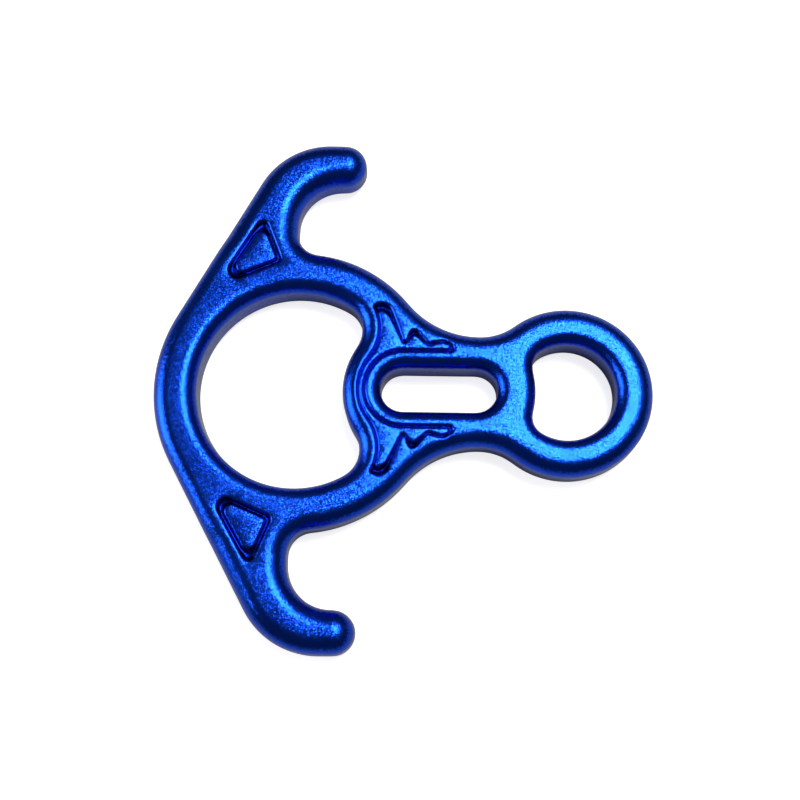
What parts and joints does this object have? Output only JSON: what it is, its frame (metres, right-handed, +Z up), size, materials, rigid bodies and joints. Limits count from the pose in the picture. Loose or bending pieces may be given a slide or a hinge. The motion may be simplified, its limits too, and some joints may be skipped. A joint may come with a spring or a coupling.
{
  "type": "rope descender",
  "caption": "Rescue figure-eight descender with two rope-catching ears, a large rope ring, a rope slot and a karabiner eye, one solid piece of anodised aluminium.",
  "frame": {"origin": "under the middle of the piece as it lies flat, on the plane it lies on", "axes": "+X from the rope ring to the karabiner eye, +Y across from ear to ear, +Z up through the thickness"},
  "size_m": [0.147, 0.154, 0.0155],
  "materials": {
    "blue_anodised": "bead-blasted and blue anodised, satin with a fine metallic grain"
  },
  "bodies": {
    "root": {"descender_body": "blue_anodised"}
  },
  "joints": []
}
